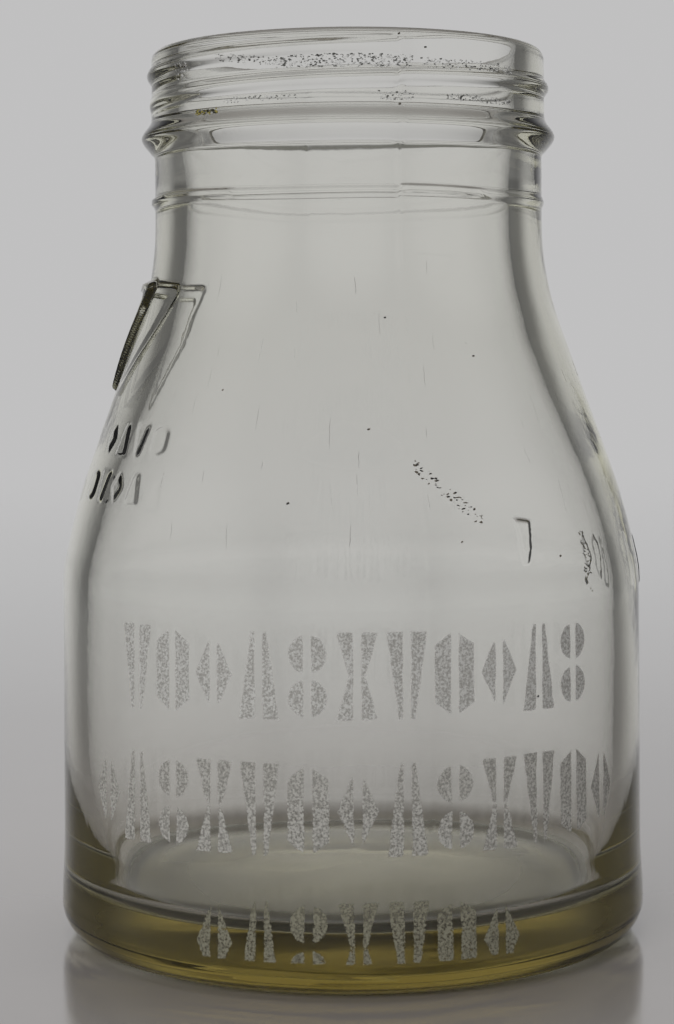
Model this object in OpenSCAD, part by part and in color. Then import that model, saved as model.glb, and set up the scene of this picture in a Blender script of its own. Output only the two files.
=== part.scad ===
// Wide-mouth screw-neck glass bottle, one pint, with its relief and its frosted stencil rows.
// The bottle stands on z = 0 with its axis on Z, and its front faces -Y.

/* [Body] */
// Height from the foot to the rim
height = 147.5; // [145:0.5:152]
// Outside diameter of the straight side
body_d = 97; // [94:0.5:100]
// Thickness of the side wall
wall = 4.3; // [3.5:0.1:5]
// Extra thickness that the side wall gains just above the floor
low_wall = 1.5; // [0:0.1:2]
// Height below which the side wall grows thicker
thick_from = 30; // [22:1:45]
// Height at which the straight side turns into the shoulder
side_top = 58.5; // [56:0.5:61]
// How far the side swells just above the heel
heel_swell = 0.4; // [0:0.1:0.8]

/* [Base] */
// Radius of the rounded heel
heel_r = 5.7; // [5:0.1:7]
// Thickness of the glass floor at its edge
floor_t = 8.2; // [7:0.1:9]
// Height that the floor rises towards its middle
floor_rise = 2; // [1:0.1:3]
// Radius of the corner between the floor and the wall
floor_corner_r = 5; // [3:0.5:6]
// Depth of the hollow under the base
push_up = 2.8; // [1:0.1:4]
// Radius of the hollow under the base
push_up_r = 36; // [30:1:38]

/* [Shoulder] */
// Lean of the shoulder's straight stretch from the vertical
shoulder_lean = 19.5; // [18.5:0.5:20.5]
// Lean at which the tight turn above the side passes into the long one
break_lean = 11.3; // [10:0.1:12]
// Radius of the tight turn above the side
break_r = 20; // [15:1:25]
// Radius of the long turn up to the straight stretch
crown_r = 119; // [110:1:125]
// Radius of the sweep from the shoulder into the neck
neck_sweep_r = 50; // [45:1:55]

/* [Neck] */
// Outside diameter of the plain neck
neck_d = 65.4; // [64:0.2:66]
// Outside diameter of the finish, between the threads
finish_d = 66.4; // [66:0.2:68]
// Extra thickness that the neck's wall has below the bore
neck_gain = 1.2; // [0:0.1:1.5]
// Height at which the straight bore ends and the neck starts to narrow
bore_foot = 134; // [132:0.5:138]
// Height at which the neck is narrowest inside
throat_z = 124; // [122:0.5:128]
// Radius of the rim's outer edge
lip_outer_r = 1.6; // [1:0.1:2]
// Radius of the rim's inner edge
lip_inner_r = 1.2; // [1:0.1:2]
// Height of the middle of the transfer bead
bead_z = 132.7; // [132:0.1:133.5]
// Distance that the transfer bead stands out from the plain neck
bead_out = 2.2; // [1.5:0.1:2.5]
// Radius of the transfer bead's rounded edge
bead_tip = 1; // [0.6:0.1:1.4]
// Height of the middle of the small ring under the bead
ring_z = 121.6; // [120.5:0.1:123]
// Height of the small ring along the neck
ring_h = 2.2; // [1.5:0.1:3]
// Distance that the small ring stands out
ring_out = 0.5; // [0.3:0.05:1]

/* [Thread] */
// Rise of the thread in one turn
pitch = 5; // [4.5:0.1:5.5]
// Angle that the thread runs through
thread_sweep = 500; // [360:10:540]
// Angle at which the thread starts, from +X
thread_start = 165; // [0:5:360]
// Height at which the thread starts
thread_z = 138; // [137.5:0.1:138.5]
// Distance that the thread's crest stands out
thread_out = 0.75; // [0.4:0.05:1]
// Width of the thread's foot
thread_w = 3; // [2:0.1:3.2]

/* [Relief] */
// Angle of the front mould seam, from the front, with right positive
seam_az = 14; // [0:1:45]
// Width of a mould seam
seam_w = 0.5; // [0.3:0.1:1]
// Distance that a mould seam stands out
seam_out = 0.15; // [0.1:0.05:0.3]
// Distance that the small raised marks stand out
mark_out = 0.4; // [0.3:0.1:0.8]
// Angle of the middle of the shoulder emblem
emblem_az = -93; // [-95:1:-85]
// Height of the middle of the shoulder emblem
emblem_z = 99; // [97:0.5:100]
// Distance that the emblem's border stands out
emblem_out = 1.3; // [0.8:0.1:1.6]

/* [Frosted rows] */
// Thickness of the skin that stands for the frosted glass
frost_t = 0.15; // [0.1:0.05:0.3]
// Height of a frosted figure
frost_h = 13.2; // [11:0.2:14]
// Width of a frosted figure
frost_w = 6.4; // [5:0.2:6.6]
// Width of the stencil's bridge through the middle of a figure
bridge_w = 1.1; // [0.5:0.1:1.5]

/* [Hidden] */
$fn = 128;

body_r = body_d / 2;
neck_r = neck_d / 2;
finish_r = finish_d / 2;
bore_r = neck_r - wall;
clear_glass = [0.80, 0.81, 0.76, 0.45];
frosted_glass = [0.88, 0.88, 0.85];
arc_steps = 12;      // stretches in each arc of an outline
prism_reach = 12;    // depth of the prisms that cut a figure out of a skin

function polar(a) = [cos(a), sin(a)];
function arc(centre, r, from, to, steps = arc_steps) =
    [for (i = [0:steps]) centre + r * polar(from + (to - from) * i / steps)];

// The shoulder at a depth t inside the outer surface, from the side up to the neck, where the
// depth is more by a gain.
break_c = [body_r - break_r, side_top];
crown_c = break_c - (crown_r - break_r) * polar(break_lean);
crown_end = crown_c + crown_r * polar(shoulder_lean);
sweep_in = neck_sweep_r * (1 - cos(shoulder_lean));
cone_rise = (crown_end.x - neck_r - sweep_in) / tan(shoulder_lean);
cone_end = [neck_r + sweep_in, crown_end.y + cone_rise];
sweep_c = cone_end + neck_sweep_r * polar(shoulder_lean);
function shoulder(t, gain = 0) = concat(
    arc(break_c, break_r - t, 0, break_lean, 4),
    arc(crown_c, crown_r - t, break_lean, shoulder_lean, 8),
    arc(sweep_c, neck_sweep_r + t + gain, 180 + shoulder_lean, 180)
);

swell_z = 2.8 * heel_r;
function outer_side() = concat(
    arc([body_r + heel_swell - heel_r, heel_r], heel_r, -90, 0),
    [for (i = [1:6]) [body_r + heel_swell * (1 + cos(180 * i / 6)) / 2, heel_r + (swell_z - heel_r) * i / 6]],
    shoulder(0)
);
function rim() = concat(
    arc([finish_r - lip_outer_r, height - lip_outer_r], lip_outer_r, 0, 90),
    arc([bore_r + lip_inner_r, height - lip_inner_r], lip_inner_r, 90, 180)
);
function reversed(list) = [for (i = [len(list) - 1:-1:0]) list[i]];

// A shallow dome out to a radius r, as points from the middle outwards.
function dome(r, z, rise) = [for (i = [0:10]) [r * i / 10, z + rise * (1 - pow(i / 10, 2))]];
floor_edge_r = body_r - wall - low_wall - floor_corner_r;

// The inside of the side wall, from where it starts to thicken down to the floor's corner.
low_steps = 6;
function inner_side() =
    let (drop = floor_t + floor_corner_r - thick_from)
    [for (i = [0:low_steps - 1]) let (t = i / low_steps)
        [body_r - wall - low_wall * t * t, thick_from + drop * t]];

module bottle() {
    color(clear_glass) rotate_extrude() polygon(concat(
        dome(push_up_r, 0, push_up),
        outer_side(),
        [[neck_r, bead_z], [finish_r, bead_z]],
        rim(),
        [[bore_r, bore_foot], [bore_r - neck_gain, throat_z]],
        reversed(shoulder(wall, neck_gain)),
        inner_side(),
        arc([floor_edge_r, floor_t + floor_corner_r], floor_corner_r, 0, -80, 6),
        reversed(dome(floor_edge_r, floor_t, floor_rise))
    ));
}

// A ridge of half-oval section that climbs round the finish and dies away at both ends.
thread_rings = round(thread_sweep / 5);
thread_sides = 9;
thread_root = 0.3;   // depth that the ridge is let into the wall
thread_runout = 45;  // angle over which each end dies away
function thread_swell(a) = max(0.05, sin(90 * min(1, min(a, thread_sweep - a) / thread_runout)));
function thread_ring(i) =
    let (a = thread_sweep * i / thread_rings, s = thread_swell(a))
    [for (k = [0:thread_sides - 1])
        let (
            t = 180 * k / (thread_sides - 1),
            r = finish_r - thread_root + (thread_out + thread_root) * s * sin(t)
        )
        [
            r * cos(thread_start + a),
            r * sin(thread_start + a),
            thread_z + pitch * a / 360 - thread_w / 2 * s * cos(t),
        ]
    ];

module screw_thread() {
    points = [for (i = [0:thread_rings]) each thread_ring(i)];
    n = thread_sides;
    sides = [for (i = [0:thread_rings - 1], k = [0:n - 1])
        let (a = i * n + k, b = i * n + (k + 1) % n) [a, b, b + n, a + n]];
    ends = [
        [for (k = [n - 1:-1:0]) k],
        [for (k = [0:n - 1]) thread_rings * n + k],
    ];
    color(clear_glass) polyhedron(points, concat(sides, ends), convexity = 6);
}

// The bead's two flanks slope at 45 degrees and meet in a rounded edge.
bead_r = neck_r + bead_out;
bead_steps = 9;
function flank_reach(r) = sqrt(pow(bead_r - r + bead_tip, 2) - pow(bead_tip, 2));
function flank(reach) =
    [for (i = [0:bead_steps]) let (d = reach * i / bead_steps)
        [bead_r + bead_tip - sqrt(d * d + bead_tip * bead_tip), bead_z + d]];
module transfer_bead() {
    color(clear_glass) rotate_extrude() polygon(concat(
        [[neck_r, bead_z]],
        reversed(flank(-flank_reach(neck_r))),
        [for (i = [1:bead_steps]) flank(flank_reach(finish_r))[i]],
        [[finish_r, bead_z]]
    ));
}

module neck_ring() {
    color(clear_glass) rotate_extrude() polygon([for (a = [-90:10:90])
        [neck_r + ring_out * cos(a), ring_z + ring_h / 2 * sin(a)]]);
}

// Places a flat figure on the wall: az from the front, right positive, and z up.
module facing(az, z) {
    rotate([0, 0, az]) translate([0, 0, z]) rotate([90, 0, 0])
        translate([0, 0, body_r / 2]) linear_extrude(body_r / 2 + prism_reach) children();
}

// The glass that stands proud of the outer surface by t, between two heights.
outline_rz = [for (p = concat(outer_side(), [[neck_r, height]])) [p.y, p.x]];
function side_r(z) = lookup(z, outline_rz);
skin_rise = 1;       // height of each stretch of a skin on the curved shoulder
module skin(low, high, t) {
    steps = ceil((high - low) / skin_rise);
    zs = [for (i = [0:steps]) low + (high - low) * i / steps];
    rotate_extrude() polygon(concat(
        [for (z = zs) [side_r(z), z]],
        [for (z = reversed(zs)) [side_r(z) + t, z]]
    ));
}
module straight_skin(low, high, t) {
    rotate_extrude() translate([body_r, low]) square([t, high - low]);
}

// The seam follows the wall from above the heel to the small ring.
module mould_seam(az) {
    color(clear_glass) intersection() {
        skin(swell_z, ring_z - ring_h / 2, seam_out);
        rotate([0, 0, az]) translate([-seam_w / 2, -body_r - 1, 0]) cube([seam_w, body_r + 1, height]);
    }
}

// Emblem: a plain pennant with a raised border, wide at the top and rounded at the foot.
emblem_w = 30;
emblem_h = 20;
emblem_border = 1.8;
function corner(a, b, c, r) =
    let (
        u = (a - b) / norm(a - b),
        v = (c - b) / norm(c - b),
        half = acos(u * v) / 2,
        centre = b + (u + v) / norm(u + v) * r / sin(half),
        turn = 180 - 2 * half,
        middle = atan2(-(u + v).y, -(u + v).x)
    )
    arc(centre, r, middle - turn / 2, middle + turn / 2, 8);
function rounded(p, r) = [for (i = [0:len(p) - 1])
    each corner(p[(i + len(p) - 1) % len(p)], p[i], p[(i + 1) % len(p)], r)];
module pennant(inset) {
    half_w = emblem_w / 2 - 1.6 * inset;
    top = emblem_h / 2 - inset;
    foot = -emblem_h / 2 + 1.5 * inset;
    polygon(rounded([[-half_w, top], [0, foot], [half_w, top]], 1.6));
}

module shoulder_emblem() {
    low = emblem_z - emblem_h / 2 - 1;
    high = emblem_z + emblem_h / 2 + 1;
    color(clear_glass) union() {
        intersection() {
            skin(low, high, emblem_out);
            facing(emblem_az, emblem_z) difference() {
                pennant(0);
                pennant(emblem_border);
            }
        }
        intersection() {
            skin(low, high, emblem_out / 3);
            facing(emblem_az, emblem_z) pennant(emblem_border / 2);
        }
    }
}

// Figures for the raised marks and the frosted rows: plain shapes, none of them a letter.
module lozenge(w, h) {
    polygon([[-w / 2, 0], [0, -h / 2], [w / 2, 0], [0, h / 2]]);
}
module wedge(w, h) {
    polygon([[-w / 2, -h / 2], [w / 2, -h / 2], [w / 5, h / 2], [-w / 5, h / 2]]);
}
module hexagon(w, h) {
    polygon([for (s = [[1, 1], [1, -1], [0, -1.5], [-1, -1], [-1, 1], [0, 1.5]]) [s.x * w / 2, s.y * h / 3]]);
}
module hourglass(w, h) {
    polygon([for (s = [[1, 1], [0.4, 0], [1, -1], [-1, -1], [-0.4, 0], [-1, 1]]) [s.x * w / 2, s.y * h / 2]]);
}
module twin_dots(w, h) {
    for (s = [-1, 1]) translate([0, s * h / 4]) circle(w * 0.47);
}
module figure(kind, w, h) {
    if (kind == "lozenge") lozenge(w, h);
    if (kind == "wedge") wedge(w, h);
    if (kind == "turned wedge") rotate(180) wedge(w, h);
    if (kind == "hexagon") hexagon(w, h);
    if (kind == "hourglass") hourglass(w, h);
    if (kind == "dots") twin_dots(w, h);
}

// A run of figures at equal angles, each standing proud of the wall by mark_out.
mark_w = 4.4;
mark_h = 5.6;
module raised_marks(z, azimuths, kinds, w = mark_w, h = mark_h) {
    color(clear_glass) intersection() {
        skin(z - h / 2 - 1, z + h / 2 + 1, mark_out);
        union() for (i = [0:len(azimuths) - 1])
            facing(azimuths[i], z) figure(kinds[i % len(kinds)], w, h);
    }
}
module raised_marks_left_upper() {
    raised_marks(83, [-66, -59, -52, -45], ["lozenge", "wedge", "turned wedge", "hexagon"]);
}
module raised_marks_left_lower() {
    raised_marks(75.5, [-69, -62.5, -56, -49.5], ["hexagon", "turned wedge", "lozenge", "wedge"]);
}
module raised_marks_right() {
    raised_marks(61.5, [91, 99, 108, 135], ["wedge", "hexagon", "lozenge", "turned wedge"], 5.2, 9.6);
}

// A row of frosted figures, each cut in two by the stencil's bridge. Its child is the skin it is cut from.
frost_step = 8.8;    // angle from one figure to the next
frost_middle = 1;    // angle of the middle of the rows, from the front
module frosted_row(z, count, h) {
    kinds = ["hexagon", "lozenge", "wedge", "dots", "hourglass", "turned wedge"];
    color(frosted_glass) intersection() {
        children();
        union() for (i = [0:count - 1])
            facing(frost_middle + (i - (count - 1) / 2) * frost_step, z) difference() {
                figure(kinds[(i + count) % len(kinds)], frost_w, h);
                square([bridge_w, h + 2], center = true);
            }
    }
}
module frosted_row_upper() {
    frosted_row(48.5, 11, frost_h) straight_skin(40, side_top, frost_t);
}
module frosted_row_middle() {
    frosted_row(28.5, 13, frost_h + 0.8) straight_skin(20, 37, frost_t);
}
// The lowest row runs down over the swell and stops where the heel turns in.
module frosted_row_lower() {
    frosted_row(8.3, 7, frost_h) skin(heel_r, swell_z - 1, frost_t);
}

bottle();
screw_thread();
transfer_bead();
neck_ring();
mould_seam(seam_az);  // mould_seam_front
mould_seam(seam_az + 180);  // mould_seam_back
shoulder_emblem();
raised_marks_left_upper();
raised_marks_left_lower();
raised_marks_right();
frosted_row_upper();
frosted_row_middle();
frosted_row_lower();
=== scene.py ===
import math
import random

import bpy
import numpy as np
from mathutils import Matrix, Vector


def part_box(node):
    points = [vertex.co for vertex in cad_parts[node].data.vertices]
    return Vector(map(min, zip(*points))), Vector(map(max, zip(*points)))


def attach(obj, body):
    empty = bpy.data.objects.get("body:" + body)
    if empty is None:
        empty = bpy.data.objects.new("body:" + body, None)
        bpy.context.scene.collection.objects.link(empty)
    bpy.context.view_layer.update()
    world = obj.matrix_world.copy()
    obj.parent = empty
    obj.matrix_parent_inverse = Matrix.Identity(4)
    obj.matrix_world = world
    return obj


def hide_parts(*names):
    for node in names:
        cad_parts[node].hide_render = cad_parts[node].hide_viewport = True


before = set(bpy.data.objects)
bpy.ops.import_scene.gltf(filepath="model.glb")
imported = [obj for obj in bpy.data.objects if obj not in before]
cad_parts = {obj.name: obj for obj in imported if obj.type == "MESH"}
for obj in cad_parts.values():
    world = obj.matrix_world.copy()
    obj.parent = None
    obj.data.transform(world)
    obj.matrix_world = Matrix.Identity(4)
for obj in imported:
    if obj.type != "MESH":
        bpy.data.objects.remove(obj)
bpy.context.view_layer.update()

# ---------------------------------------------------------------------------------------------
# The studio. A broad pale floor runs back under an even pale light, as on a product table. The
# camera stands level with the bottle's shoulder and a little under eight body radii away.
# ---------------------------------------------------------------------------------------------
MM = 0.001
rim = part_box("bottle")[1]
HEEL_SWELL = 0.4 * MM
body_r = rim.x - HEEL_SWELL
height = rim.z


class Socket:
    """A shader socket that takes part in sums, and that makes the other nodes of its tree."""

    def __init__(self, tree, link=None):
        self.tree = tree
        self.link = link

    def make(self, kind, settings=None, sockets=None, output=0):
        """Adds a node. Its settings are set first, then the values or links of its sockets."""
        node = self.tree.nodes.new("ShaderNode" + kind)
        for name, value in (settings or {}).items():
            if name == "stops":
                ramp = node.color_ramp.elements
                while len(ramp) < len(value):
                    ramp.new(0.5)
                for stop, (place, colour) in zip(ramp, value):
                    stop.position = place
                    stop.color = (*colour, 1)
            else:
                setattr(node, name, value)
        for name, value in (sockets or {}).items():
            if isinstance(value, Socket):
                self.tree.links.new(value.link, node.inputs[name])
            else:
                node.inputs[name].default_value = value
        return Socket(self.tree, node.outputs[output])

    def sum(self, operation, a, b=0.0):
        return self.make("Math", {"operation": operation}, {0: a, 1: b})

    def __add__(self, other):
        return self.sum("ADD", self, other)

    def __radd__(self, other):
        return self.sum("ADD", other, self)

    def __sub__(self, other):
        return self.sum("SUBTRACT", self, other)

    def __rsub__(self, other):
        return self.sum("SUBTRACT", other, self)

    def __mul__(self, other):
        return self.sum("MULTIPLY", self, other)

    def __rmul__(self, other):
        return self.sum("MULTIPLY", other, self)

    def between(self, low, high):
        """0 below low, 1 above high, and a smooth rise from one to the other."""
        settings = {"interpolation_type": "SMOOTHSTEP"}
        sockets = {"Value": self, "From Min": low, "From Max": high, "To Min": 0.0, "To Max": 1.0}
        return self.make("MapRange", settings, sockets)


def new_material(name):
    """An empty material, and a Socket that starts its tree."""
    material = bpy.data.materials.new(name)
    material.use_nodes = True
    material.node_tree.nodes.clear()
    return material, Socket(material.node_tree)


def finish_material(start, surface, volume=None):
    output = start.tree.nodes.new("ShaderNodeOutputMaterial")
    start.tree.links.new(surface.link, output.inputs["Surface"])
    if volume:
        start.tree.links.new(volume.link, output.inputs["Volume"])


# The floor is satin board. Close to the bottle its colour is painted darker and browner, as painted
# contact shade, and far from it the board melts into the air of the room.
FLOOR_R = 1.6
FLOOR_DROP = 0.05 * MM
bpy.ops.object.select_all(action="DESELECT")
bpy.ops.mesh.primitive_circle_add(vertices=96, radius=FLOOR_R, fill_type="TRIFAN",
                                  location=(0, 0, -FLOOR_DROP))
floor = bpy.context.object
floor.name = "floor"
material, start = new_material("pale_floor_painted_shade")
place = start.make("TexCoord", output="Object")
reach = start.make("VectorMath", {"operation": "LENGTH"}, {0: place}, output="Value")
grain = start.make("TexNoise", None, {"Vector": place, "Scale": 60.0, "Detail": 4.0})
# Painted shade: the board's colour is darkest and brownest near the bottle, and turns plain grey
# further out.
colour = start.make("ValToRGB", {"stops": [
    (0.0, (0.34, 0.305, 0.28)), (0.04, (0.36, 0.335, 0.32)), (0.15, (0.30, 0.28, 0.27)),
    (0.4, (0.50, 0.50, 0.50))]}, {0: reach * (1 / FLOOR_R)})
colour = start.make("Mix", {"data_type": "RGBA", "blend_type": "MULTIPLY"}, {
    0: 1.0, 6: colour, 7: start.make("ValToRGB", {"stops": [
        (0.3, (0.97, 0.97, 0.97)), (0.7, (1, 1, 1))]}, {0: grain})}, output=2)
board = start.make("BsdfPrincipled", None, {
    "Base Color": colour, "Roughness": 0.14, "Coat Weight": 1.0, "Coat Roughness": 0.1})
clear = start.make("BsdfTransparent")
finish_material(start, start.make("MixShader", None, {
    0: reach.between(0.2 * FLOOR_R, 0.98 * FLOOR_R), 1: board, 2: clear}))
floor.data.materials.append(material)

# The room's light, by its direction: a bright wall behind the bottle, less bright ones at the
# sides and at the front, and dim corners between them, which draw the dark lines in clear glass.
# Each wall's span runs from where its light begins to where it is full.
world = bpy.data.worlds.new("room")
bpy.context.scene.world = world
world.use_nodes = True
world.node_tree.nodes.clear()
start = Socket(world.node_tree)
direction = start.make("TexCoord", output="Generated")
across = start.make("SeparateXYZ", None, {0: direction}, output="X")
along = start.make("SeparateXYZ", None, {0: direction}, output="Y")
up = start.make("SeparateXYZ", None, {0: direction}, output="Z")
BACK_LIGHT = 0.53
SIDE_LIGHT = 0.40
CORNER_LIGHT = 0.11
OVERHEAD_LIGHT = 0.05
BACK_SPAN = (0.72, 0.95)
SIDE_SPAN = (0.76, 0.97)
OVERHEAD_SPAN = (0.55, 0.95)
SIDE_WALL_LEAN = 0.3
to_the_side = start.sum("ABSOLUTE", across) - SIDE_WALL_LEAN * along
sideways = start.sum("MAXIMUM", to_the_side, 0 - along)
strength = CORNER_LIGHT + (BACK_LIGHT - CORNER_LIGHT) * along.between(*BACK_SPAN)
strength = strength + (SIDE_LIGHT - CORNER_LIGHT) * sideways.between(*SIDE_SPAN)
strength = strength + OVERHEAD_LIGHT * up.between(*OVERHEAD_SPAN)
background = start.make("Background", None, {"Color": (1.0, 0.995, 1.0, 1), "Strength": strength})
output = start.tree.nodes.new("ShaderNodeOutputWorld")
start.tree.links.new(background.link, output.inputs["Surface"])


def soft_lamp(name, place, size, watts, shines):
    """A square lamp that faces the middle of the bottle. One that doesn't shine in the glass
    only lights matt surfaces."""
    lamp = bpy.data.lights.new(name, "AREA")
    lamp.size = size
    lamp.energy = watts
    lamp_object = bpy.data.objects.new(name, lamp)
    bpy.context.scene.collection.objects.link(lamp_object)
    lamp_object.location = place
    aim = Vector((0, 0, height / 2)) - lamp_object.location
    lamp_object.rotation_euler = aim.to_track_quat("-Z", "Y").to_euler()
    lamp_object.visible_glossy = shines
    lamp_object.visible_transmission = shines


soft_lamp("front_lamp", (-0.7, -1.5, 1.2), 0.9, 15, shines=False)
soft_lamp("overhead_lamp", (0.0, 0.2, 1.7), 1.2, 10, shines=False)

CAMERA_AWAY = 7.988
CAMERA_UP = 1.989
CAMERA_ROLL = 0.38
camera_data = bpy.data.cameras.new("camera")
camera_data.lens = 80.19
camera_data.sensor_width = 36
camera_data.shift_x = -0.0121
camera_data.shift_y = -0.1546
camera = bpy.data.objects.new("camera", camera_data)
bpy.context.scene.collection.objects.link(camera)
camera.location = (0, -CAMERA_AWAY * body_r, CAMERA_UP * body_r)
camera.rotation_euler = (math.radians(90), math.radians(CAMERA_ROLL), 0)
bpy.context.scene.camera = camera

scene = bpy.context.scene
scene.view_settings.view_transform = "Standard"
scene.cycles.max_bounces = 32
scene.cycles.transmission_bounces = 32
scene.cycles.glossy_bounces = 12
scene.cycles.transparent_max_bounces = 32
scene.cycles.use_denoising = True

# ---------------------------------------------------------------------------------------------
# The bottle. One piece of pressed and blown soda-lime glass, faintly straw-coloured, with a
# thick base. The outline is drawn as the mould was turned, then spun; the thread, ring, seams,
# emblem and raised marks are pushed out of the wall, as the glass was into the mould's cuts.
# ---------------------------------------------------------------------------------------------
WALL = 4.3 * MM
HEEL_R = 5.7 * MM
FLOOR_T = 8.2 * MM
FLOOR_RISE = 2.0 * MM
CORNER_R = 5.0 * MM
LOW_WALL = 1.5 * MM
THICK_FROM = 30 * MM
PUSH_UP = 2.8 * MM
PUSH_UP_R = 36 * MM
SIDE_TOP = 58.5 * MM
BREAK_R = 20 * MM
CROWN_R = 119 * MM
SWEEP_R = 50 * MM
BREAK_LEAN = 11.3
SHOULDER_LEAN = 19.5
NECK_R = 32.7 * MM
FINISH_R = 33.2 * MM
BORE_R = NECK_R - WALL
BORE_FOOT = 134 * MM
THROAT_Z = 124 * MM
NECK_GAIN = 1.2 * MM
LIP_OUTER_R = 1.6 * MM
LIP_INNER_R = 1.2 * MM
BEAD_Z = 132.7 * MM
BEAD_R = 34.9 * MM
BEAD_TIP = 1.0 * MM
RING_Z = 121.6 * MM
RING_BAND = 2 * MM


def arc(centre, r, start_angle, end_angle, steps=40):
    """Points (radius, height) along an arc; the angles are in degrees."""
    angles = np.radians(np.linspace(start_angle, end_angle, steps + 1))
    return [(centre[0] + r * math.cos(a), centre[1] + r * math.sin(a)) for a in angles]


def shoulder(depth, gain=0.0):
    """The shoulder at a depth inside the outer surface, from the side up to the neck, where
    the depth is more by a gain."""
    lean, turn = math.radians(SHOULDER_LEAN), math.radians(BREAK_LEAN)
    break_c = (body_r - BREAK_R, SIDE_TOP)
    crown_c = (break_c[0] - (CROWN_R - BREAK_R) * math.cos(turn),
               break_c[1] - (CROWN_R - BREAK_R) * math.sin(turn))
    crown_end = (crown_c[0] + CROWN_R * math.cos(lean), crown_c[1] + CROWN_R * math.sin(lean))
    cone_r = NECK_R + SWEEP_R * (1 - math.cos(lean))
    cone_z = crown_end[1] + (crown_end[0] - cone_r) / math.tan(lean)
    sweep_c = (cone_r + SWEEP_R * math.cos(lean), cone_z + SWEEP_R * math.sin(lean))
    return (arc(break_c, BREAK_R - depth, 0, BREAK_LEAN)
            + arc(crown_c, CROWN_R - depth, BREAK_LEAN, SHOULDER_LEAN)
            + arc(sweep_c, SWEEP_R + depth + gain, 180 + SHOULDER_LEAN, 180))


def dome(r, z, swell, steps=30):
    """A shallow dome, from its edge to the middle."""
    return [(r * t, z + swell * (1 - t * t)) for t in np.linspace(1, 0, steps + 1)]


def finish_wall(z):
    """The neck's and finish's radius at a height, with the collar bead's sloping flanks."""
    step = 0.5 + 0.5 * math.tanh((z - BEAD_Z) / MM)
    plain = NECK_R + (FINISH_R - NECK_R) * step
    bead = BEAD_R + BEAD_TIP - math.hypot(z - BEAD_Z, BEAD_TIP)
    fillet = 0.1 * MM + 0.4 * MM * step
    return plain + (bead - plain + math.hypot(bead - plain, fillet)) / 2


def evenly(points, spacing):
    """The same line, with its points at about one spacing."""
    line = np.array(points)
    length = np.concatenate([[0], np.cumsum(np.linalg.norm(np.diff(line, axis=0), axis=1))])
    places = np.linspace(0, length[-1], max(2, round(length[-1] / spacing) + 1))
    return [(np.interp(p, length, line[:, 0]), np.interp(p, length, line[:, 1])) for p in places]


swell_top = 2.8 * HEEL_R
side = [(body_r + HEEL_SWELL * (1 + math.cos(math.pi * t)) / 2, HEEL_R + (swell_top - HEEL_R) * t)
        for t in np.linspace(0, 1, 30)]
outer_low = arc((body_r + HEEL_SWELL - HEEL_R, HEEL_R), HEEL_R, -90, 0) + side + shoulder(0)
neck_z = outer_low[-1][1]
finish_top = height - LIP_OUTER_R
outer_high = [(finish_wall(z), z) for z in np.linspace(neck_z, finish_top, 400)]
lip = (arc((FINISH_R - LIP_OUTER_R, finish_top), LIP_OUTER_R, 0, 90)
       + arc((BORE_R + LIP_INNER_R, height - LIP_INNER_R), LIP_INNER_R, 90, 180))
floor_edge = body_r - WALL - LOW_WALL - CORNER_R
corner_top = FLOOR_T + CORNER_R
throat = [(BORE_R - NECK_GAIN * t, BORE_FOOT + (THROAT_Z - BORE_FOOT) * t)
          for t in np.linspace(0, 1, 9)]
inner = ([(BORE_R, height - LIP_INNER_R)] + throat + shoulder(WALL, NECK_GAIN)[::-1]
         + [(body_r - WALL - LOW_WALL * t * t, THICK_FROM + (corner_top - THICK_FROM) * t)
            for t in np.linspace(0, 1, 12)])
corner = arc((floor_edge, FLOOR_T + CORNER_R), CORNER_R, 0, -80)
underside = dome(PUSH_UP_R, 0, PUSH_UP)[::-1]

# The outline's points lie closer together where something small stands out or turns sharply.
below_ring = [p for p in outer_high if p[1] <= RING_Z - RING_BAND]
above_ring = [p for p in outer_high if p[1] >= RING_Z + RING_BAND]
by_ring = outer_high[len(below_ring) - 1:len(outer_high) - len(above_ring) + 1]
ROW = 1.15 * MM
FINE_ROW = 0.4 * MM
profile = (evenly(underside, 2 * ROW)
           + evenly([underside[-1], outer_low[0]], 2 * ROW)[1:]
           + evenly(outer_low[:41], 0.35 * ROW)[1:]
           + evenly(outer_low[40:], ROW)[1:]
           + evenly(below_ring, FINE_ROW)[1:]
           + evenly(by_ring, FINE_ROW / 2)[1:]
           + evenly(above_ring, FINE_ROW)[1:]
           + evenly(lip, 0.3 * MM)[1:]
           + evenly([(BORE_R, height - LIP_INNER_R)] + throat, 1.25 * MM)[1:]
           + evenly(inner[len(throat):], 2.4 * ROW)[1:]
           + evenly(corner, 0.5 * MM)[1:]
           + evenly(dome(floor_edge, FLOOR_T, FLOOR_RISE), 2 * ROW))


def spun(name, points, steps):
    """A solid of revolution: one vertex drawn out along the outline, then spun round Z."""
    bpy.ops.object.select_all(action="DESELECT")
    bpy.ops.mesh.primitive_plane_add(size=MM)
    piece = bpy.context.object
    piece.name = name
    bpy.ops.object.mode_set(mode="EDIT")
    bpy.ops.mesh.select_mode(type="VERT")
    bpy.ops.mesh.select_all(action="SELECT")
    bpy.ops.mesh.merge(type="CENTER")
    bpy.ops.transform.translate(value=(points[0][0], 0, points[0][1]))
    for (r0, z0), (r1, z1) in zip(points, points[1:]):
        bpy.ops.mesh.extrude_region_move(TRANSFORM_OT_translate={"value": (r1 - r0, 0, z1 - z0)})
    bpy.ops.mesh.select_all(action="SELECT")
    bpy.ops.mesh.spin(steps=steps, angle=math.tau, center=(0, 0, 0), axis=(0, 0, 1))
    bpy.ops.mesh.select_all(action="SELECT")
    bpy.ops.mesh.remove_doubles(threshold=0.004 * MM)
    bpy.ops.mesh.normals_make_consistent(inside=False)
    bpy.ops.object.mode_set(mode="OBJECT")
    return piece


COLUMNS = 216
bottle = spun("glass_bottle", profile, COLUMNS)

# The outer wall's radius at a height, for everything that is pushed out of it or lies on it.
wall_line = np.array(outer_low + outer_high[1:])


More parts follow.
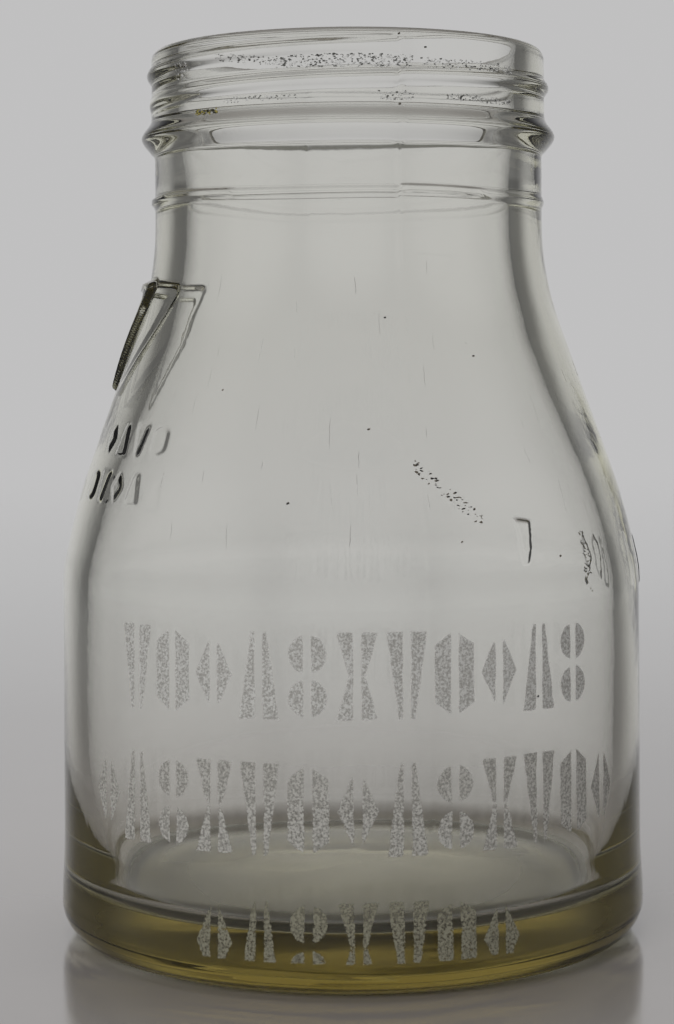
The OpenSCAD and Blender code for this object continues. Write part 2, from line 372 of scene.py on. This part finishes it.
def wall_r(z):
    return np.interp(z, wall_line[:, 1], wall_line[:, 0])


def read_points(piece):
    points = np.empty(3 * len(piece.data.vertices))
    piece.data.vertices.foreach_get("co", points)
    return points.reshape(-1, 3)


def write_points(piece, points):
    piece.data.vertices.foreach_set("co", points.ravel())
    piece.data.update()


def bearing(points):
    """Degrees from the front, right positive, of each point."""
    return np.degrees(np.arctan2(points[:, 0], -points[:, 1]))


def on_outer_wall(points):
    r = np.hypot(points[:, 0], points[:, 1])
    z = points[:, 2]
    return (np.abs(r - wall_r(z)) < 0.1 * MM) & (z > 0.3 * MM) & (z < finish_top)


def refine(piece, cuts, az_range, z_range):
    """Cuts the outer wall's faces finer inside a range of bearings and heights."""
    mesh = piece.data
    middles = np.empty(3 * len(mesh.polygons))
    mesh.polygons.foreach_get("center", middles)
    middles = middles.reshape(-1, 3)
    az = bearing(middles)
    z = middles[:, 2]
    inside = on_outer_wall(middles) & (z > z_range[0]) & (z < z_range[1])
    turn = (az - az_range[0]) % 360
    inside &= turn < (az_range[1] - az_range[0])
    bpy.ops.object.select_all(action="DESELECT")
    piece.select_set(True)
    bpy.context.view_layer.objects.active = piece
    bpy.ops.object.mode_set(mode="EDIT")
    bpy.ops.mesh.select_mode(type="FACE")
    bpy.ops.mesh.select_all(action="DESELECT")
    bpy.ops.object.mode_set(mode="OBJECT")
    mesh.polygons.foreach_set("select", inside)
    bpy.ops.object.mode_set(mode="EDIT")
    bpy.ops.mesh.subdivide(number_cuts=cuts)
    bpy.ops.object.mode_set(mode="OBJECT")


# Plain figures for the raised marks and the frosted rows, as convex outlines drawn
# anticlockwise. None of them is a letter.
def ring_of(centre, r, corners=14):
    angles = [math.tau * i / corners for i in range(corners)]
    return [(centre[0] + r * math.cos(a), centre[1] + r * math.sin(a)) for a in angles]


def figure(kind, w, h):
    a, b = w / 2, h / 2
    wedge = [(-a, -b), (a, -b), (w / 5, b), (-w / 5, b)]
    waist = 0.4 * a
    return {
        "lozenge": [[(-a, 0), (0, -b), (a, 0), (0, b)]],
        "wedge": [wedge],
        "turned wedge": [[(-x, -y) for x, y in wedge]],
        "hexagon": [[(0, -b), (a, -h / 3), (a, h / 3), (0, b), (-a, h / 3), (-a, -h / 3)]],
        "hourglass": [[(-a, -b), (a, -b), (waist, 0), (-waist, 0)],
                      [(-waist, 0), (waist, 0), (a, b), (-a, b)]],
        "dots": [ring_of((0, -h / 4), 0.47 * w), ring_of((0, h / 4), 0.47 * w)],
        "pennant": [[(-a, b), (0, -b), (a, b)]],
    }[kind]


def sides_of(outline):
    return list(zip(outline, outline[1:] + outline[:1]))


def left_of(line, x, y):
    """How far each point lies to the left of a line from one corner to the next."""
    (x0, y0), (x1, y1) = line
    return ((x1 - x0) * (y - y0) - (y1 - y0) * (x - x0)) / math.hypot(x1 - x0, y1 - y0)


def inside_by(outline, x, y, rounding):
    """How far inside a convex outline each point lies, its corners rounded; negative outside."""
    gaps = np.array([left_of(line, x, y) for line in sides_of(outline)])
    nearest = np.min(gaps, axis=0)
    return nearest - rounding * np.log(np.sum(np.exp((nearest - gaps) / rounding), axis=0))


def rise(value, width):
    """0 below 0, 1 above width, with a smooth slope."""
    t = np.clip(value / width, 0, 1)
    return t * t * (3 - 2 * t)


def hump(t):
    """A smooth ridge, t from -1 to 1 across it."""
    return np.clip(1 - t * t, 0, None) ** 1.5


# The thread: one ridge that climbs one and a half turns, right-handed.
PITCH = 5 * MM
THREAD_SWEEP = 500
THREAD_START = 165
THREAD_Z = 138 * MM
THREAD_OUT = 0.75 * MM
THREAD_W = 3.0 * MM
RUNOUT = 45


def thread_relief(az, z):
    out = np.zeros_like(z)
    for turn in (0, 360):
        along = (az - 90 - THREAD_START) % 360 + turn
        middle = THREAD_Z + PITCH * along / 360
        fade = rise(along, RUNOUT) * rise(THREAD_SWEEP - along, RUNOUT)
        out = np.maximum(out, fade * hump((z - middle) / (THREAD_W / 2)))
    return THREAD_OUT * out


# The small ring under the bead. It is a little tilted and wavy, and stands out more sharply
# over two stretches, where the mould's cut was fresher.
RING_H = 2.2 * MM
RING_OUT = 0.6 * MM
SHARP_STRETCHES = ((-95, -30), (14, 45))


def ring_relief(az, z):
    turn = np.radians(az)
    middle = RING_Z + 0.35 * MM * np.sin(turn + 2.6) + 0.12 * MM * np.sin(5 * turn)
    soft = 0.55 * hump((z - middle) / (RING_H / 2))
    sharp = np.zeros_like(z)
    for low, high in SHARP_STRETCHES:
        stretch = rise(az - low, 1.5) * rise(high - az, 8)
        sharp = np.maximum(sharp, stretch * rise(0.75 * MM - np.abs(z - middle - 0.2 * MM), 0.35 * MM))
    return RING_OUT * np.maximum(soft, sharp)


# The mould seams, front and back. The two halves of the mould met with a slight step.
SEAM_AZ = 14
SEAM_W = 0.5 * MM
SEAM_OUT = 0.12 * MM
HALVES_OFF = 0.28 * MM


def right_half(az):
    return (az > SEAM_AZ) | (az < SEAM_AZ - 180)


def seam_relief(az, z, r):
    out = np.zeros_like(z)
    for seam in (SEAM_AZ, SEAM_AZ - 180):
        across = np.radians(az - seam) * r
        out = np.maximum(out, hump(across / (SEAM_W / 2)))
    unevenness = 0.75 + 0.25 * np.sin(z / (3.1 * MM)) * np.sin(z / (1.3 * MM))
    return SEAM_OUT * out * unevenness * rise(z - HEEL_R, 6 * MM)


# The emblem: a plain pennant with a raised border. The marks: short runs of plain figures.
EMBLEM = {"az": -93, "z": 99 * MM, "w": 30 * MM, "h": 20 * MM}
EMBLEM_OUT = 1.3 * MM
BORDER = 1.8 * MM
MARK_RUNS = [
    {"z": 83 * MM, "w": 4.4 * MM, "h": 5.6 * MM, "out": 0.24 * MM, "figures": [
        (-66, "lozenge"), (-59, "wedge"), (-52, "turned wedge"), (-45, "hexagon")]},
    {"z": 75.5 * MM, "w": 4.4 * MM, "h": 5.6 * MM, "out": 0.24 * MM, "figures": [
        (-69, "hexagon"), (-62.5, "turned wedge"), (-56, "lozenge"), (-49.5, "wedge")]},
    {"z": 61.5 * MM, "w": 5.2 * MM, "h": 9.6 * MM, "out": 0.45 * MM, "figures": [
        (91, "wedge"), (99, "hexagon"), (108, "lozenge"), (135, "turned wedge")]},
]


def emblem_relief(az, z, r):
    x = r * np.sin(np.radians(az - EMBLEM["az"]))
    depth = inside_by(figure("pennant", EMBLEM["w"], EMBLEM["h"])[0], x, z - EMBLEM["z"], 0.8 * MM)
    depth = np.where(np.abs(az - EMBLEM["az"]) < 60, depth, -1)
    panel = rise(depth - BORDER, 0.7 * MM)
    return EMBLEM_OUT * rise(depth, 0.7 * MM) * (1 - 0.67 * panel)


def marks_relief(az, z, r):
    out = np.zeros_like(z)
    for run in MARK_RUNS:
        for mark_az, kind in run["figures"]:
            x = r * np.sin(np.radians(az - mark_az))
            near = np.abs(az - mark_az) < 30
            for outline in figure(kind, run["w"], run["h"]):
                depth = inside_by(outline, x, z - run["z"], 0.25 * MM)
                out = np.maximum(out, np.where(near, run["out"] * rise(depth, 0.9 * MM), 0))
    return out


def unevenness(az, z, seed, waves=7):
    """A slow ripple round and up the wall, between about -1 and 1, as blown glass has."""
    dice = random.Random(seed)
    total = np.zeros_like(z)
    for _ in range(waves):
        round_it = dice.randint(1, 6)
        up_it = dice.uniform(-120, 120)
        total += np.sin(round_it * np.radians(az) + up_it * z + dice.uniform(0, math.tau))
    return total / math.sqrt(waves)


# Where faces are cut finer: the emblem, the marks on the left and on the right, and the seams.
FINER = [
    (2, (EMBLEM["az"] - 28, EMBLEM["az"] + 28), (87 * MM, 111 * MM)),
    (3, (-74, -41), (71 * MM, 87 * MM)),
    (3, (87, 112), (56 * MM, 67 * MM)),
    (3, (130.5, 139.5), (56 * MM, 67 * MM)),
    (3, (SEAM_AZ - 1.5, SEAM_AZ + 1.5), (HEEL_R, finish_top)),
    (3, (SEAM_AZ - 181.5, SEAM_AZ - 178.5), (HEEL_R, finish_top)),
]
for cuts, az_range, z_range in FINER:
    refine(bottle, cuts, az_range, z_range)

# How uneven the glass is: the outer and inner walls, the floor inside, the hollow underneath,
# and the fine level lines round the heel. The floor and the hollow are calm in the middle.
INNER_RIPPLE = 0.10 * MM
OUTER_RIPPLE = 0.03 * MM
FLOOR_RIPPLE = 0.08 * MM
HOLLOW_RIPPLE = 0.04 * MM
CALM_R = 24 * MM
HEEL_LINE_OUT = 0.025 * MM
HEEL_LINE_STEP = 0.21 * MM
HEEL_LINES_TOP = 9 * MM


def outer_ripple(az, z):
    ends = rise(z - HEEL_R, 8 * MM) * rise(finish_top - z, 3 * MM)
    return OUTER_RIPPLE * unevenness(az, z, 4) * ends


def relief_at(az, z, r):
    """How far the outer surface stands out from the plain turned outline."""
    z_in_mould = z - np.where(right_half(az), HALVES_OFF, 0)
    relief = thread_relief(az, z_in_mould) + ring_relief(az, z_in_mould)
    relief = np.maximum(relief, seam_relief(az, z, r))
    relief = np.maximum(relief, emblem_relief(az, z, r))
    relief = np.maximum(relief, marks_relief(az, z, r))
    return relief + outer_ripple(az, z)


points = read_points(bottle)
az = bearing(points)
z = points[:, 2]
r = np.hypot(points[:, 0], points[:, 1])
outer = on_outer_wall(points)
base_r = np.where(outer, wall_r(z), r)
relief = relief_at(az, z, r)
waver = 1.5 * np.sin(np.radians(3 * az)) + np.sin(np.radians(7 * az))
heel_lines = rise(z - 0.8 * MM, MM) * rise(HEEL_LINES_TOP - z, 3 * MM)
relief += HEEL_LINE_OUT * np.sin(z / HEEL_LINE_STEP + waver) * heel_lines
inner_wall = ~outer & (z > FLOOR_T) & (z < height - 4 * MM) & (r > 5 * MM)
drift = np.where(inner_wall, INNER_RIPPLE * unevenness(az, z, 9), 0)
new_r = np.where(outer, base_r + relief, base_r + drift * rise(height - 4 * MM - z, 10 * MM))
points[:, 0] *= new_r / np.maximum(r, 1e-9)
points[:, 1] *= new_r / np.maximum(r, 1e-9)
base = ~outer & (z < FLOOR_T + FLOOR_RISE + MM) & (r < floor_edge)
on_floor = base & (z > 5 * MM)
in_hollow = base & (z > 0.2 * MM) & (z < 5 * MM)
calm = rise(r, CALM_R)
points[:, 2] += np.where(on_floor, FLOOR_RIPPLE * calm * unevenness(az, 3 * r, 21), 0)
points[:, 2] += np.where(in_hollow, HOLLOW_RIPPLE * calm * unevenness(az, 3 * r, 22), 0)
write_points(bottle, points)
bpy.ops.object.select_all(action="DESELECT")
bottle.select_set(True)
bpy.context.view_layer.objects.active = bottle
bpy.ops.object.shade_smooth()

# Clear glass, dulled underneath by years on shelves; the tint is slight in a thin wall.
SCUFF_TOP = 3.2 * MM
SCUFF_ROUGHNESS = 0.3
material, start = new_material("straw_glass")
place = start.make("TexCoord", output="Object")
level = start.make("SeparateXYZ", None, {0: place}, output="Z")
scuffed = 1 - level.between(0.6 * MM, SCUFF_TOP)
ripple = start.make("TexNoise", None, {"Vector": place, "Scale": 160.0, "Detail": 3.0})
bump = start.make("Bump", None, {"Strength": 0.04, "Distance": 0.0004, "Height": ripple})
glass = start.make("BsdfPrincipled", None, {
    "Base Color": (1, 1, 1, 1), "Roughness": SCUFF_ROUGHNESS * scuffed, "IOR": 1.52,
    "Transmission Weight": 1.0, "Normal": bump})
tint = start.make("VolumeAbsorption", None, {"Color": (0.86, 0.85, 0.59, 1), "Density": 22.0})
finish_material(start, glass, tint)
bottle.data.materials.append(material)
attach(bottle, "root")
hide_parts("bottle", "screw_thread", "transfer_bead", "neck_ring", "mould_seam_front",
            "mould_seam_back", "shoulder_emblem", "raised_marks_left_upper",
            "raised_marks_left_lower", "raised_marks_right")

# ---------------------------------------------------------------------------------------------
# The deep straw colour of the base, with painted shade. The glass there is many times thicker than the
# wall, and its colour gathers; this lens of tint lies inside it, from the hollow up to the floor, and
# it also darkens the base as painted shade.
# ---------------------------------------------------------------------------------------------
INSET = 0.3 * MM
tint_r = body_r + HEEL_SWELL - HEEL_R
tint_top = FLOOR_T + MM
core_outline = ([(r, z + INSET) for r, z in underside]
                + [(tint_r + MM, 2 * MM), (tint_r, tint_top)]
                + arc((floor_edge, corner_top), CORNER_R + INSET, -50, -80, 10)
                + dome(floor_edge, FLOOR_T - INSET, FLOOR_RISE, 10))
core = spun("base_tint_and_painted_shade", core_outline, 96)
bpy.ops.object.shade_smooth()
material, start = new_material("deep_straw_tint_and_painted_shade")
# Painted shade as well as tint: this dense absorption darkens the base beyond its straw colour.
deep = start.make("VolumeAbsorption", None, {"Color": (0.62, 0.52, 0.11, 1), "Density": 30.0})
finish_material(start, start.make("BsdfTransparent"), deep)
core.data.materials.append(material)
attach(core, "root")

# ---------------------------------------------------------------------------------------------
# The frosted rows. Plain figures sandblasted into the wall through a stencil, whose bridge
# leaves a clear strip down the middle of each. The blasted glass is a grainy matt grey-white,
# a skin that follows the wall, and its edges are worn soft.
# ---------------------------------------------------------------------------------------------
FROST_W = 6.4 * MM
FROST_H = 13.2 * MM
BRIDGE_W = 1.1 * MM
FROST_STEP = 8.8
FROST_MIDDLE = 1
FROST_LIFT = 0.05 * MM
KINDS = ["hexagon", "lozenge", "wedge", "dots", "hourglass", "turned wedge"]


def cut_away(line):
    """Bisects the flat mesh along a line and clears what lies to the right of it."""
    (x0, y0), (x1, y1) = line
    outward = Vector((y1 - y0, x0 - x1, 0)).normalized()
    bpy.ops.mesh.select_all(action="SELECT")
    bpy.ops.mesh.bisect(plane_co=(x0, y0, 0), plane_no=outward, clear_outer=True, threshold=1e-6)


def flat_figure(kind, w, h, floor_y=None):
    """One stencil figure, cut out of flat grids, with each point's depth inside its edge."""
    parts = []
    for outline in figure(kind, w, h):
        for hand in (-1, 1):
            bpy.ops.object.select_all(action="DESELECT")
            bpy.ops.mesh.primitive_grid_add(x_subdivisions=14, y_subdivisions=28, size=1)
            part = bpy.context.object
            bpy.ops.object.mode_set(mode="EDIT")
            bpy.ops.transform.resize(value=(w, h, 1))
            edge = hand * BRIDGE_W / 2
            lines = sides_of(outline) + [((edge, hand * h), (edge, -hand * h))]
            if floor_y is not None:
                lines.append(((-w, floor_y), (w, floor_y)))
            for line in lines:
                cut_away(line)
            bpy.ops.object.mode_set(mode="OBJECT")
            points = read_points(part)
            gaps = [left_of(line, points[:, 0], points[:, 1]) for line in lines]
            depth = part.data.attributes.new("depth", "FLOAT", "POINT")
            depth.data.foreach_set("value", np.min(gaps, axis=0) / MM)
            parts.append(part)
    return joined(parts)


def joined(parts):
    """Several objects made one."""
    bpy.ops.object.select_all(action="DESELECT")
    for part in parts:
        part.select_set(True)
    bpy.context.view_layer.objects.active = parts[0]
    if len(parts) > 1:
        bpy.ops.object.join()
    return parts[0]


def wrapped(flat, az, z, lift):
    """A copy of a piece made lying flat, laid on the outer wall round a bearing and a height."""
    copy = flat.copy()
    copy.data = flat.data.copy()
    bpy.context.scene.collection.objects.link(copy)
    points = read_points(copy)
    heights = points[:, 1] + z
    turn = np.radians(az) + np.arcsin(points[:, 0] / wall_r(heights))
    r = wall_r(heights)
    r = r + relief_at(np.degrees(turn), heights, r) + points[:, 2] + lift
    write_points(copy, np.stack([r * np.sin(turn), -r * np.cos(turn), heights], axis=1))
    return copy


def frosted_material(name, pale, dark, cover_scale):
    material, start = new_material(name)
    place = start.make("TexCoord", output="Object")
    depth = start.make("Attribute", {"attribute_name": "depth"}, output="Fac")
    grit = start.make("TexNoise", None, {"Vector": place, "Scale": 2600.0, "Detail": 3.0,
                                         "Roughness": 0.65})
    wear = start.make("TexNoise", None, {"Vector": place, "Scale": 420.0, "Detail": 2.0})
    cloud = start.make("TexNoise", None, {"Vector": place, "Scale": 90.0, "Detail": 2.0})
    colour = start.make("Mix", {"data_type": "RGBA"}, {
        0: grit.between(0.40, 0.62), 6: (*dark, 1), 7: (*pale, 1)}, output=2)
    edge = (depth + 0.55 * (wear - 0.5) + 0.5 * (grit - 0.5)).between(-0.02, 0.22)
    grains = (grit + 0.35 * (cloud - 0.5)).between(0.30, 0.46)
    cover = edge * (1 - cover_scale + cover_scale * grains)
    bump = start.make("Bump", None, {"Strength": 0.35, "Distance": 0.0001, "Height": grit})
    finish_material(start, start.make("BsdfPrincipled", None, {
        "Base Color": colour, "Roughness": 0.85, "Alpha": cover, "Normal": bump}))
    return material


# Three copies of one frost. The lower rows' colour is painted darker, and the lowest's yellowish too:
# painted shade, and the straw colour of the base behind it. Lower down the cover is also patchier, as
# wear.
fresh_blast = frosted_material("fresh_blast", (0.80, 0.80, 0.77), (0.46, 0.45, 0.42), 0.35)
rubbed_blast_painted_shade = frosted_material("rubbed_blast_painted_shade", (0.66, 0.65, 0.61), (0.34, 0.33, 0.30), 0.4)
worn_blast_painted_shade = frosted_material("worn_blast_painted_shade", (0.34, 0.33, 0.25), (0.17, 0.16, 0.12), 0.6)


def frosted_row(name, z, count, h, material, lowest=None):
    """A row of figures round the front, in the order of their kinds; none goes below lowest."""
    parts = []
    for i in range(count):
        flat = flat_figure(KINDS[(i + count) % len(KINDS)], FROST_W, h,
                           None if lowest is None else lowest - z)
        az = FROST_MIDDLE + (i - (count - 1) / 2) * FROST_STEP
        parts.append(wrapped(flat, az, z, FROST_LIFT))
        bpy.data.objects.remove(flat)
    row = joined(parts)
    row.name = f"blasted_row_{name}"
    bpy.ops.object.shade_smooth()
    row.data.materials.append(material)
    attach(row, "root")
    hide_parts(f"frosted_row_{name}")


frosted_row("upper", 48.5 * MM, 11, FROST_H, fresh_blast)
frosted_row("middle", 28.5 * MM, 13, FROST_H + 0.8 * MM, rubbed_blast_painted_shade)
frosted_row("lower", 8.3 * MM, 7, FROST_H, worn_blast_painted_shade, lowest=HEEL_R)

# ---------------------------------------------------------------------------------------------
# Wear and dirt. Years of caps have scuffed the finish to a speckled grey, crumbs of old dirt
# stick above the bead and in one raised mark, and specks and fine scratches lie over the rest.
# ---------------------------------------------------------------------------------------------
dice = random.Random(31)


def patch(az_range, z_range, count, sizes, slant=0.0):
    """Random places, sizes and turns for lumps in a patch; slant is its fall from end to end."""
    places = []
    for _ in range(count):
        t = dice.random()
        size = dice.uniform(*sizes)
        az = az_range[0] + t * (az_range[1] - az_range[0])
        places.append({"az": az, "z": dice.uniform(*z_range) - t * slant, "length": size,
                       "width": size * dice.uniform(0.25, 0.7), "turn": dice.uniform(-0.4, 0.4)})
    return places


def lumps(name, places, thickness, pale, dark):
    """Flat irregular lumps on the outer wall, all of one mixed colour, as one piece."""
    bpy.ops.object.select_all(action="DESELECT")
    bpy.ops.mesh.primitive_ico_sphere_add(subdivisions=1, radius=0.5)
    pattern = bpy.context.object
    sphere = read_points(pattern).copy()
    parts = []
    for spot in places:
        ragged = sphere * np.array([[dice.uniform(0.6, 1.4)] for _ in sphere])
        u, v = ragged[:, 0] * spot["length"], ragged[:, 1] * spot["width"]
        c, s = math.cos(spot["turn"]), math.sin(spot["turn"])
        flat = np.stack([u * c - v * s, u * s + v * c, ragged[:, 2] * thickness], axis=1)
        write_points(pattern, flat)
        parts.append(wrapped(pattern, spot["az"], spot["z"], 0.2 * thickness))
    bpy.data.objects.remove(pattern)
    piece = joined(parts)
    piece.name = name
    material, start = new_material(name)
    place = start.make("TexCoord", output="Object")
    grit = start.make("TexNoise", None, {"Vector": place, "Scale": 1800.0, "Detail": 2.0})
    colour = start.make("Mix", {"data_type": "RGBA"}, {
        0: grit.between(0.42, 0.58), 6: (*dark, 1), 7: (*pale, 1)}, output=2)
    bump = start.make("Bump", None, {"Strength": 0.4, "Distance": 0.0001, "Height": grit})
    finish_material(start, start.make("BsdfPrincipled", None, {
        "Base Color": colour, "Roughness": 0.8, "Normal": bump}))
    piece.data.materials.append(material)
    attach(piece, "root")


# The scuffed stretches between and over the thread's turns: bearings, heights and grains.
GRAIN = (0.1 * MM, 0.55 * MM)
SCUFFS = [
    ((-20, 18), (141.1 * MM, 143.1 * MM), 430),
    ((20, 52), (141.1 * MM, 142.7 * MM), 230),
    ((-57, -50), (141 * MM, 143.4 * MM), 90),
    ((-36, -14), (136.2 * MM, 137 * MM), 80),
    ((8, 18), (136 * MM, 137.4 * MM), 70),
    ((28, 52), (136.2 * MM, 137.2 * MM), 170),
]
scuffs = patch((-38, -15), (142.9 * MM, 144.2 * MM), 150, GRAIN, slant=1.8 * MM)
for az_range, z_range, count in SCUFFS:
    scuffs += patch(az_range, z_range, count, GRAIN)
lumps("finish_scuffs", scuffs, 0.05 * MM, (0.80, 0.80, 0.78), (0.14, 0.14, 0.13))
lumps("dirt_crumbs",
      patch((-46, -38), (134.6 * MM, 135.5 * MM), 40, (0.3 * MM, 0.8 * MM))
      + patch((106.5, 110.5), (55 * MM, 66 * MM), 60, (0.4 * MM, 1.2 * MM)),
      0.3 * MM, (0.42, 0.36, 0.10), (0.03, 0.03, 0.02))
# Bearings and heights of the larger specks, in degrees and millimetres.
SPECKS = [(14, 146.3), (14, 135.3), (21.5, 144.3), (9, 102), (21, 68), (43, 65), (-30, 91),
          (4, 85), (31, 96), (-12, 74), (36, 44)]
lumps("dark_specks",
      [{"az": az, "z": z * MM, "length": 0.5 * MM, "width": 0.35 * MM, "turn": 0.3}
       for az, z in SPECKS]
      + patch((13, 26), (78.2 * MM, 80.4 * MM), 60, (0.2 * MM, 0.7 * MM), slant=8.5 * MM)
      + patch((-180, 180), (16 * MM, 134 * MM), 60, (0.08 * MM, 0.2 * MM)),
      0.05 * MM, (0.16, 0.14, 0.11), (0.02, 0.02, 0.02))
scratches = patch((-180, 180), (60 * MM, 112 * MM), 46, (0.04 * MM, 0.07 * MM))
for scratch in scratches:
    scratch["width"] = dice.uniform(1.5, 6) * MM
    scratch["turn"] = dice.uniform(-0.12, 0.12)
lumps("fine_scratches", scratches, 0.04 * MM, (0.75, 0.75, 0.72), (0.45, 0.45, 0.42))
